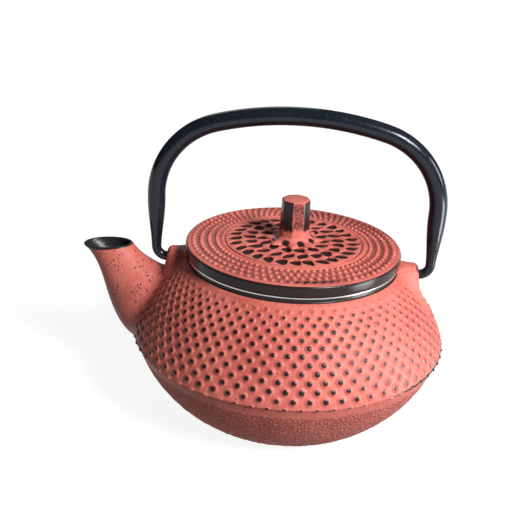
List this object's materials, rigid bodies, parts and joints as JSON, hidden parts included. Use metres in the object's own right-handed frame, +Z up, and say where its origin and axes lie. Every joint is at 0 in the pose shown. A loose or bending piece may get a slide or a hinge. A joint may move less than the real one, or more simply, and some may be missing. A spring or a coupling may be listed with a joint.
{
  "type": "teapot",
  "caption": "Round cast-iron teapot with hobnail relief, an upturned spout, a swinging bail handle, a flat lid with a faceted knob and a lift-out steel tea basket.",
  "frame": {"origin": "centre of the foot, on the surface that the pot stands on, on the axis of the bowl and lid", "axes": "+Z up along the bowl's axis, the spout points to -X, the bail stands in the XZ plane and swings about a line along X"},
  "size_m": [0.1546, 0.132, 0.13],
  "materials": {
    "pot_iron": "satin coral red paint over black iron, rubbed through on the nail tips",
    "lid_iron": "satin coral red paint over black iron, black in the hollows and on the edge",
    "bail_iron": "satin blue-black enamel",
    "basket_steel": "bright stainless sheet",
    "basket_mesh": "fine stainless mesh"
  },
  "bodies": {
    "pot": {"pot_body": "pot_iron", "spout": "pot_iron"},
    "bail": {"bail_handle": "bail_iron"},
    "basket": {"infuser_rim": "basket_steel", "infuser_wall": "basket_mesh", "infuser_floor": "basket_mesh", "infuser_base_band": "basket_steel"},
    "lid_unit": {"lid": "lid_iron", "lid_knob": "lid_iron", "knob_washer": "basket_steel"}
  },
  "joints": [
    {"name": "bail_swing", "type": "hinge", "parent": "pot", "child": "bail", "pos_m": [0, 0, 0.0632], "axis": [1, 0, 0], "range_deg": [-99, 99]},
    {"name": "basket_lift", "type": "slide", "parent": "pot", "child": "basket", "axis": [0, 0, 1], "range_m": [0, 0.028]},
    {"name": "lid_lift", "type": "slide", "parent": "basket", "child": "lid_unit", "axis": [0, 0, 1], "range_m": [0, 0.028]}
  ]
}
